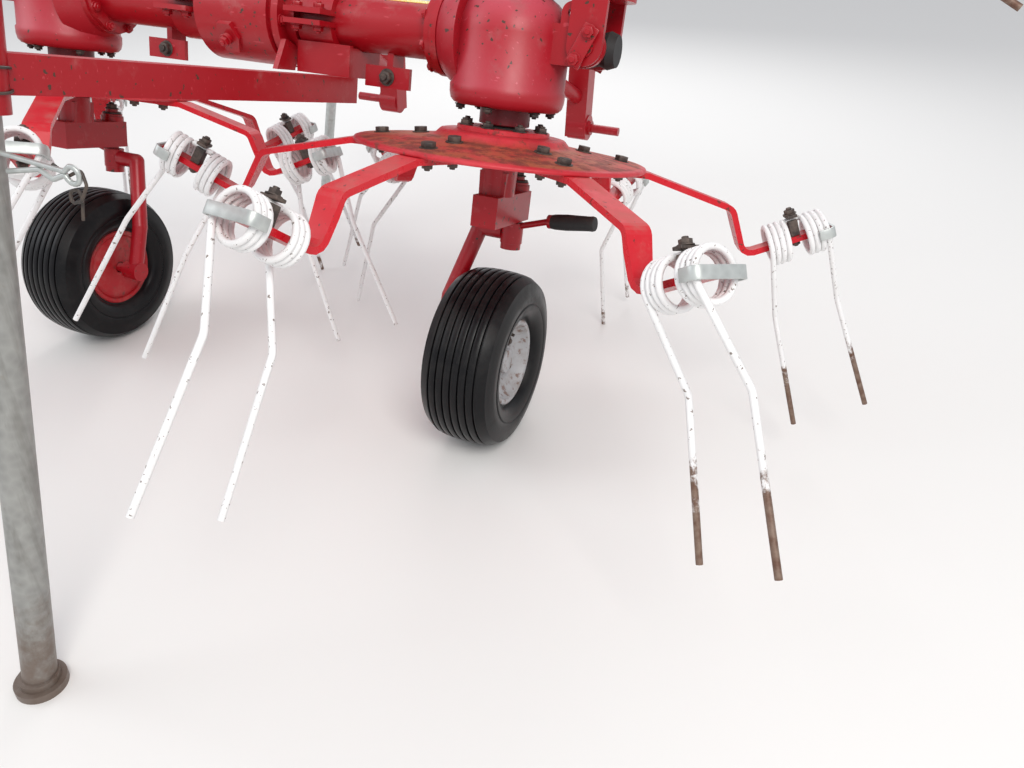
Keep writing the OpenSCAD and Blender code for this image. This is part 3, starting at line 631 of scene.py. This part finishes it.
# Discs: a pressed cone with a raised middle and the bolted hub flange, holed and bolted to the arms.
# Its profile is given as heights above the top of the rim and above its underside
disc = {
    "drop": 0.210, "thick": 0.008, "radius": 0.300, "boltHigh": ((0.168, 0.017), (0.247, 0.007)),
    "boltLean": 0.115, "boltSunk": 0.001, "nutDrop": 0.020, "hubTop": 0.0435, "hubRing": 0.082, "hubCount": 8,
    "holes": ((0.176, 0.030), (0.243, 0.030)), "holeWide": 0.0045, "holeLong": 0.08,
    "above": [(0.0495, 0.028), (0.0495, 0.0430), (0.0500, 0.0435), (0.0935, 0.0435), (0.0950, 0.0420),
              (0.0950, 0.0350), (0.0945, 0.0345), (0.120, 0.0340), (0.1270, 0.0325), (0.1310, 0.0290),
              (0.1380, 0.0220), (0.1430, 0.0195), (0.1520, 0.0180), (0.2000, 0.0125), (0.2500, 0.0068),
              (0.2850, 0.0024), (0.2950, 0.0008), (0.2985, -0.0006), (0.3000, -0.0030)],
    "below": [(0.3000, 0.0025), (0.2990, 0.0007), (0.2970, 0), (0.0700, 0), (0.0700, -0.015),
              (0.0495, -0.015)],
}


def discModel():
    top = -disc["drop"]
    low = top - disc["thick"]
    points = [(r, top + z) for r, z in disc["above"]] + [(r, low + z) for r, z in disc["below"]]
    made = smooth(turned(points + points[:1], 96, "disc"), 42)
    cutters = []
    for radius, angle in disc["holes"]:
        for i in range(6):
            at = onRing(radius, angle + math.radians(60 * i), top)
            cutters.append(cylinder(disc["holeWide"], disc["holeLong"], at, sides=20))
    cutter = joined(cutters, "discHoles")
    cut = made.modifiers.new("Boolean", "BOOLEAN")
    cut.object = cutter
    cut.operation = "DIFFERENCE"
    applyAll(made)
    dropped(cutter)
    ring = made.data.attributes.new("ring", "FLOAT", "POINT")
    for vertex, value in zip(made.data.vertices, ring.data):
        value.value = vertex.co.xy.length / disc["radius"]
    return made


def armBolts(place):
    parts = []
    for arm in armFrames(place):
        for radius, high in disc["boltHigh"]:
            head = (radius, 0, -disc["drop"] + high - disc["boltSunk"])
            nut = (radius, 0, -disc["drop"] - disc["nutDrop"])
            parts.append(copied(flatBolt, arm @ lookAlong(head, (disc["boltLean"], 0, 1), radius * 9)))
            parts.append(copied(bolt12, arm @ lookAlong(nut, (0, 0, -1))))
    for i in range(disc["hubCount"]):
        angle = math.tau * i / disc["hubCount"]
        at = onRing(disc["hubRing"], angle, -disc["drop"] + disc["hubTop"])
        parts.append(copied(bolt12, stations[place] @ lookAlong(at, (0, 0, 1), angle)))
    return parts


oneDisc = discModel()
for place in places:
    phased = armFrames(place)[0] @ Matrix.Rotation(math.radians(30), 4, "Z")
    plate = copied(oneDisc, phased, "discPlate_" + place)
    dressed(plate, "disc", "rotor_" + place, "disc_orange", "disc_" + place)
    dressed(joined(armBolts(place), "discBolts_" + place), "bolt", "rotor_" + place, "dark_steel")
dropped(oneDisc)
print("discs made")


# Castings: the round housing over each rotor, its sleeve drawn in to the tube, and the neck below it
casting = {
    "shell": [(0.050, -0.1275), (0.096, -0.1275), (0.106, -0.125), (0.113, -0.118), (0.116, -0.106),
              (0.1165, -0.090), (0.1135, -0.086), (0.1135, 0.012), (0.109, 0.036), (0.098, 0.058),
              (0.083, 0.072), (0.070, 0.080), (0.068, 0.088), (0.060, 0.0905), (0.0, 0.0905)],
    "sleeve": [(0.060, 0.0), (0.112, 0.0), (0.103, 0.022), (0.092, 0.040), (0.0815, 0.052), (0.0775, 0.056),
               (0.060, 0.056)],
    "neck": [(0.0485, -0.1265), (0.0515, -0.1265), (0.0515, -0.1585), (0.0500, -0.1600), (0.0485, -0.1600),
             (0.0485, -0.1265)],
    "sleeveX": -0.076, "boltRing": 0.092, "boltFace": -0.1275,
}


def castingModel():
    shell = turned(casting["shell"], 72, "castingShell")
    sleeve = turned(casting["sleeve"], 64, "castingSleeve")
    towardsTube = Matrix.Rotation(math.radians(-90), 4, "Y")
    sleeve.data.transform(Matrix.Translation((casting["sleeveX"], 0, 0)) @ towardsTube)
    ring = []
    for i in range(6):
        at = onRing(casting["boltRing"], math.radians(30 + 60 * i), casting["boltFace"])
        ring.append(copied(bolt10, lookAlong(at, (0, 0, -1))))
    neck = smooth(turned(casting["neck"], 48, "castingNeck"), 40)
    return smooth(joined([shell, sleeve], "castingModel"), 40), joined(ring, "castingRing"), neck


shell, ring, neck = castingModel()
# Each neck takes the darkened red: painted shade under the housing, with grime blotches
for place in places:
    for name, model, paint, slot in (("castingShell_", shell, "casting", "frame_red"),
                                     ("castingBolts_", ring, "blackened", "dark_steel"),
                                     ("castingNeck_", neck, "grimy", "frame_red")):
        dressed(copied(model, stations[place], name + place), paint, carrierOf(place), slot)
dropped(shell, ring, neck)
print("castings made")


# Swivel levers: a tapered black grip on each, and the bolt and washer on top of each swivel pin
lever = {"from": (0.088, 0.0993, -0.3545), "to": (0.199, 0.0846, -0.3393), "pinTop": (0, 0.115, -0.270),
         "washer": (0, 0.115, -0.2795), "washerWide": 0.023, "washerThick": 0.004}


def gripModel():
    start, end = Vector(lever["from"]), Vector(lever["to"])
    length = (end - start).length
    made = turned([(0.0, 0.0), (0.0115, 0.0), (0.0135, 0.002), (0.0165, 0.018), (0.0175, 0.045),
                   (0.0165, 0.075), (0.0158, 0.098), (0.0163, length - 0.006), (0.0150, length - 0.001),
                   (0.0, length)], 32, "grip")
    made.data.transform(lookAlong(start, end - start))
    return smooth(made, 50)


grip = gripModel()
pinBolt = copied(bolt16, lookAlong(lever["pinTop"], (0, 0, 1), 0.4))
pinWasher = cylinder(lever["washerWide"], lever["washerThick"], lever["washer"], sides=36, bevel=0.0008)
pinParts = joined([pinBolt, pinWasher], "pinParts")
for place in places:
    dressed(copied(grip, stations[place], "leverGrip_" + place), "grip", "leg_" + place, "black_rubber")
    made = copied(pinParts, stations[place], "swivelBolt_" + place)
    dressed(made, "blackened", carrierOf(place), "dark_steel")
dropped(grip, pinParts)
print("levers made")


# Tyres: a spun section with ribs and grooves round the tread
tyre = {"radius": 0.2025, "half": 0.085, "bead": 0.0925, "beadHalf": 0.062, "treadHalf": 0.062, "grooves": 7,
        "grooveDeep": 0.006, "grooveWide": 0.0042, "lipWide": 0.0016, "lipDeep": 0.0008, "crownDrop": 0.010,
        "crownIn": 0.012, "crownPower": 2.6}


def treadHeight(z):
    reach = tyre["half"] - tyre["crownIn"]
    return tyre["radius"] - tyre["crownDrop"] * (abs(z) / reach) ** tyre["crownPower"]


def tyreProfile():
    radius, half, bead, lip = tyre["radius"], tyre["half"], tyre["bead"], tyre["beadHalf"]
    side = [(bead, lip), (bead + 0.011, lip + 0.002), (bead + 0.014, lip + 0.010),
            (bead + 0.022, half - 0.007), (bead + 0.034, half - 0.002), (bead + 0.044, half - 0.0005),
            (bead + 0.047, half - 0.003), (bead + 0.051, half - 0.0005), (bead + 0.068, half - 0.001),
            (bead + 0.082, half - 0.006), (radius - 0.017, half - 0.009), (radius - 0.013, half - 0.0145)]
    pitch = 2 * tyre["treadHalf"] / tyre["grooves"]
    wide, deep = tyre["grooveWide"] / 2, tyre["grooveDeep"]
    lipWide, lipDeep = tyre["lipWide"], tyre["lipDeep"]
    crown = []
    for i in range(tyre["grooves"]):
        middle = tyre["treadHalf"] - pitch * (i + 0.5)
        for z, cut in ((middle + wide + lipWide, 0), (middle + wide, lipDeep), (middle + wide * 0.6, deep),
                       (middle - wide * 0.6, deep), (middle - wide, lipDeep), (middle - wide - lipWide, 0)):
            crown.append((treadHeight(z) - cut, z))
    other = [(r, -z) for r, z in reversed(side)]
    inner = [(bead, -lip + 0.001), (bead + 0.0005, 0), (bead, lip - 0.001)]
    return side + crown + other + inner + [side[0]]


# Rims: two pressed dishes bolted together, silver outside and red towards the machine, with a closed
# red cap round the axle on the side of the leg
rim = {"barrel": 0.092, "lip": 0.100, "outer": 0.066, "bore": 0.0130, "dish": 0.030, "innerDish": 0.024,
       "boltRing": 0.047, "valveWire": 0.0035,
       "valve": [(0.080, 0, 0.044), (0.073, 0, 0.052), (0.070, 0, 0.064)],
       "cap": [(0.0150, 0.0660), (0.060, 0.0680), (0.076, 0.0668), (0.0850, 0.0628), (0.0898, 0.0560),
               (0.0912, 0.0480), (0.0912, 0.0400)], "capEnd": (0.0150, 0.0620)}


def rimHalf(sign, dish):
    r, lip, out = rim["barrel"], rim["lip"], rim["outer"]
    shell = [(0.026, dish), (0.056, dish), (0.064, dish + 0.008), (0.074, out - 0.024), (0.083, out - 0.014),
             (0.087, out - 0.004), (0.089, out - 0.001), (lip - 0.003, out), (lip, out - 0.002),
             (lip, out - 0.0042), (lip - 0.003, out - 0.0045), (r + 0.0005, out - 0.006),
             (r - 0.0005, out - 0.010), (r - 0.0005, 0.0), (r - 0.006, 0.0), (r - 0.008, dish + 0.004),
             (0.064, dish - 0.006), (0.026, dish - 0.006), (0.026, dish)]
    return smooth(turned([(a, b * sign) for a, b in shell], 72, "rimHalf"), 40)


def capModel():
    face = rim["cap"]
    back = [(a - 0.0015, b - 0.004) for a, b in reversed(face[1:])] + [rim["capEnd"]]
    return smooth(turned([(a, -b) for a, b in face + back + face[:1]], 72, "capModel"), 50)


def hubModel():
    return smooth(turned([(rim["bore"], -0.050), (0.029, -0.050), (0.030, -0.049), (0.030, 0.028),
                          (0.034, 0.029), (0.034, 0.034), (0.0295, 0.035), (0.0295, 0.047), (0.027, 0.0508),
                          (0.020, 0.0525), (0.0, 0.053)], 48, "hub"), 40)


oneTyre = smooth(turned(tyreProfile(), 88, "tyreModel"), 38)
outerHalf = rimHalf(1, rim["dish"])
innerHalf = rimHalf(-1, rim["innerDish"])
hub = hubModel()
cap = capModel()
wheelBolts = []
for i in range(4):
    at = onRing(rim["boltRing"], math.radians(45 + 90 * i), rim["dish"])
    wheelBolts.append(copied(bolt12, lookAlong(at, (0, 0, 1))))
wheelBolts.append(wire(softLine(rim["valve"], 0.006, 3), rim["valveWire"], "valve"))
wheelSmall = joined(wheelBolts, "wheelSmall")
for place in places:
    axle = Vector(joints["roll_" + place]["axis"]).normalized()
    hubAt = Vector(joints["roll_" + place]["pos_m"])
    wheel = Matrix.Translation(hubAt) @ axle.to_track_quat("Z", "X").to_matrix().to_4x4()
    body = "wheel_" + place
    dressed(copied(oneTyre, wheel, "grooveTyre_" + place), "tyre", body, "tyre_rubber", "tyre_" + place)
    silver = joined([copied(outerHalf, wheel), copied(hub, wheel)], "rimOutside_" + place)
    dressed(silver, "rimSilver", body, "rim_silver", "rim_" + place)
    red = joined([copied(innerHalf, wheel), copied(cap, wheel)], "rimInside_" + place)
    dressed(red, "rimRed", body, "frame_red")
    dressed(copied(wheelSmall, wheel, "wheelBolts_" + place), "bolt", body, "dark_steel")
dropped(oneTyre, outerHalf, innerHalf, hub, cap, wheelSmall)
print("wheels made")


# Bolts on the beam: through the split clamps, round the flanges, at the posts and on the middle gearbox
beam = {
    "clampX": 0.164, "clampMiddle": 0.168, "flangeHigh": 0.016, "rearBolts": -0.090, "rearSpread": 0.026,
    "frontBolts": 0.079, "frontSpread": 0.032, "frontIn": 0.002, "plateFront": 0.108, "plateSpread": 0.011,
    "plateHigh": 0.06, "flangeX": 0.441, "flangeBack": 0.014, "flangeRing": 0.071, "postX": 0.585,
    "postSpread": 0.075, "postHalf": 0.045, "postFace": -0.116, "gearFlangeX": 0.100, "gearRing": 0.0865,
    "plug": (-0.030, -0.119, 0), "plugTurn": 33,
    "brackets": ((0.325, -0.030, -0.098), (-0.255, -0.030, -0.098)),
}
parts = []
for row in rows:
    for z in (-1, 1):
        for dx in (-beam["rearSpread"], beam["rearSpread"]):
            rear = (beam["clampMiddle"] + dx, beam["rearBolts"], z * beam["flangeHigh"])
            parts.append(copied(bolt12, row @ lookAlong(rear, (0, 0, z), dx * 40)))
        for dx in (-beam["frontSpread"], beam["frontSpread"]):
            front = (beam["clampMiddle"] - beam["frontIn"] + dx, beam["frontBolts"], z * beam["flangeHigh"])
            parts.append(copied(bolt10, row @ lookAlong(front, (0, 0, z), dx * 40)))
        for dx in (-beam["plateSpread"], beam["plateSpread"]):
            plate = (beam["clampX"] + dx, beam["plateFront"], z * beam["plateHigh"])
            parts.append(copied(bolt10, row @ lookAlong(plate, (0, 1, 0))))
    for i in range(8):
        angle = math.radians(22.5 + 45 * i)
        at = roundTube(beam["flangeX"] - beam["flangeBack"], beam["flangeRing"], angle)
        parts.append(copied(bolt10, row @ lookAlong(at, (-1, 0, 0), angle)))
    for y in (-beam["postHalf"], beam["postHalf"]):
        for dx in (-beam["postSpread"], beam["postSpread"]):
            post = (beam["postX"] + dx, y, beam["postFace"])
            parts.append(copied(bolt10, row @ lookAlong(post, (0, 0, 1))))
for i in range(10):
    angle = math.radians(36 * i + 8)
    at = roundTube(beam["gearFlangeX"], beam["gearRing"], angle)
    parts.append(copied(bolt10, rowFrame @ lookAlong(at, (1, 0, 0), angle)))
plugFrame = rowFrame @ Matrix.Rotation(math.radians(beam["plugTurn"]), 4, "X")
parts.append(copied(bolt12, plugFrame @ lookAlong(beam["plug"], (0, -1, 0), 0.2)))
dressed(joined(parts, "beamBolts"), "frame", "base", "frame_red")
parts = [copied(bolt16, rowFrame @ lookAlong(at, (0, -1, 0), 0.3)) for at in beam["brackets"]]
dressed(joined(parts, "bracketBolts"), "bolt", "base", "dark_steel")
print("beam bolts set")


# Fold hinges: a keeper plate over each end of the pins, held by two bolts
hinge = {"x": 0.752, "face": 0.0745, "plate": (0.030, 0.005, 0.078), "boltAt": 0.027, "turn": 24}


def keeperModel():
    thick = hinge["plate"][1]
    plate = block(hinge["plate"], (0, thick / 2, 0), bevel=0.0014)
    heights = (-hinge["boltAt"], hinge["boltAt"])
    bolts = [copied(bolt12, lookAlong((0, thick, z), (0, 1, 0), 0.2)) for z in heights]
    return smooth(joined([plate, *bolts], "keeper"), 30)


keeper = keeperModel()
parts = []
for row in rows:
    for sign in (-1, 1):
        face = row @ Matrix.Translation((hinge["x"], sign * hinge["face"], 0))
        turn = Matrix.Rotation(math.radians(hinge["turn"]), 4, "Y")
        parts.append(copied(keeper, face @ Matrix.Scale(sign, 4, (0, 1, 0)) @ turn))
dressed(joined(parts, "hingeKeepers"), "frame", "base", "frame_red")
dropped(keeper)
print("hinge keepers set")


# Stand pins: a spring clip through each stand's hole, with its hook and wire loops on the rear collar
stand = {"x": 0.230, "back": -0.8676, "hole": -0.226, "pipe": 0.026, "poleX": -0.4466, "poleAhead": 0.859,
         "poleClip": 0.572, "polePast": 0.012}
spring = {"wire": 0.0036, "through": 0.045, "neck": 0.02, "eye": 0.012, "eyeWide": 0.8, "bend": 0.004,
          "waist": 1.1, "belly": 0.5, "mouth": 1.6}
hook = {"wire": 0.0022, "top": (0.116, 0.006, -0.010),
        "bends": [(-0.030, 0, 0.006), (-0.012, 0.004, -0.008), (0.012, 0.004, 0.004), (0.020, 0, -0.014),
                  (0.010, -0.004, -0.034), (-0.008, -0.004, -0.040), (-0.012, 0, -0.026),
                  (0.002, 0.003, -0.022), (0.004, 0.002, -0.036), (-0.001, 0, -0.062)]}
tie = {"wire": 0.0019, "ring": 0.0402, "rings": ((-0.128, 0.10), (-0.148, -0.16)), "knotX": 0.036,
       "knotBack": 0.020, "knotZ": -0.140, "knotWide": 0.010, "knotHigh": 0.014}


def clipWire(start, length, way, drop, spread, name):
    start, way = Vector(start), Vector(way).normalized()
    side = way.cross(Vector((0, 1, 0))).normalized()
    upper = [start - way * spring["through"], start + way * (length - spring["neck"])]
    eyeAt = upper[1] + way * spring["eye"] - Vector((0, 0, drop / 2))
    loop = [eyeAt + (way * math.cos(q) + side * math.sin(q)) * spread * spring["eyeWide"]
            for q in (math.radians(100 - 30 * k) for k in range(10))]
    lower = [upper[1] - way * spring["neck"] - side * spread * spring["waist"],
             upper[1] - way * 2 * spring["neck"] - side * spread * spring["belly"],
             start + way * spring["eye"] - side * spread * spring["mouth"]]
    return wire(softLine(upper + loop + lower, spring["bend"], 3), spring["wire"], name)


def tieRing(high, lean):
    points = []
    for i in range(40):
        x, y, z = onRing(tie["ring"], math.tau * i / 40, high)
        points.append(rowFrame @ Vector((stand["x"] + x, stand["back"] + y, z + lean * x)))
    return wire(points, tie["wire"], "collarLoop", True)


def tieKnot():
    points = []
    for i in range(20):
        angle = math.tau * i / 20
        x = stand["x"] + tie["knotX"] + tie["knotWide"] * math.sin(angle)
        z = tie["knotZ"] + tie["knotHigh"] * math.cos(angle)
        points.append(rowFrame @ Vector((x, stand["back"] - tie["knotBack"], z)))
    return wire(points, tie["wire"], "collarKnot", True)


holeAt = rowFrame @ Vector((stand["x"] + stand["pipe"], stand["back"], stand["hole"]))
rearClip = clipWire(holeAt, length=0.125, way=(1, 0.05, -0.10), drop=0.004, spread=0.014, name="springClip")
dressed(rearClip, "zinc", "rear_stand", "galvanised")
bends = [holeAt + Vector(hook["top"]) + Vector(bend) for bend in hook["bends"]]
dressed(wire(softLine(bends, 0.006, 4), hook["wire"], "standHook"), "blackened", "rear_stand", "dark_steel")
collarWires = [tieRing(high, lean) for high, lean in tie["rings"]] + [tieKnot()]
dressed(joined(collarWires, "collarWire"), "blackened", "base", "dark_steel")
poleHole = Vector((stand["poleX"] + stand["polePast"], stand["poleAhead"], stand["poleClip"]))
poleClip = clipWire(poleHole, length=0.075, way=(1, 0, 0.05), drop=0.003, spread=0.008, name="poleClip")
dressed(poleClip, "zinc", "front_stand", "galvanised")
print("stand clips bent")


# Label: a bare yellow patch on the right tube
label = {"from": 0.287, "to": 0.405, "radius": 0.0553, "low": 62, "high": 108, "rows": 10, "thick": 0.0004}


def labelPatch():
    corners = []
    for i in range(label["rows"] + 1):
        angle = math.radians(label["low"] + (label["high"] - label["low"]) * i / label["rows"])
        for x in (label["from"], label["to"]):
            corners.append((x, -label["radius"] * math.cos(angle), label["radius"] * math.sin(angle)))
    faces = [(2 * i, 2 * i + 1, 2 * i + 3, 2 * i + 2) for i in range(label["rows"])]
    made = sheet("labelPatch", corners, faces, label["thick"])
    made.data.transform(rowFrame)
    return smooth(made, 30)


dressed(labelPatch(), "label", "base", "frame_red")
dropped(bolt16, bolt12, bolt10, flatBolt)
print("label laid on")


# Stage: a pale floor, with soft light from above and behind the camera
deselect()
bpy.ops.mesh.primitive_plane_add(size=40, location=(0, 0, 0))
floor = bpy.context.object
floor.name = "floor"
floorPaint = Paint("floorPaint")
floorPaint.set(Base_Color=(0.78, 0.77, 0.75), Roughness=0.9, Specular_IOR_Level=0.2)
floor.data.materials.append(floorPaint.material)

world = bpy.data.worlds.new("studio")
bpy.context.scene.world = world
world.use_nodes = True
sky = world.node_tree.nodes["Background"]
sky.inputs["Color"].default_value = (0.93, 0.95, 1.0, 1)
sky.inputs["Strength"].default_value = 0.75


def lamp(name, at, towards, size, power, colour):
    deselect()
    bpy.ops.object.light_add(type="AREA", location=at)
    made = bpy.context.object
    made.name = name
    made.data.size = size
    made.data.energy = power
    made.data.color = colour
    way = Vector(towards) - Vector(at)
    made.rotation_euler = way.to_track_quat("-Z", "Y").to_euler()


lamp("keyLight", (3.2, -3.6, 4.6), (0, 0, 0.6), 2.6, 210, (1.0, 0.97, 0.93))
lamp("fillLight", (-4.0, -2.0, 3.4), (0, 0, 0.7), 3.0, 70, (0.93, 0.96, 1.0))
lamp("backLight", (-1.0, 4.2, 3.6), (0, 0, 0.8), 2.5, 90, (1, 1, 1))

bpy.context.scene.view_settings.view_transform = "Standard"

print("scene ready")
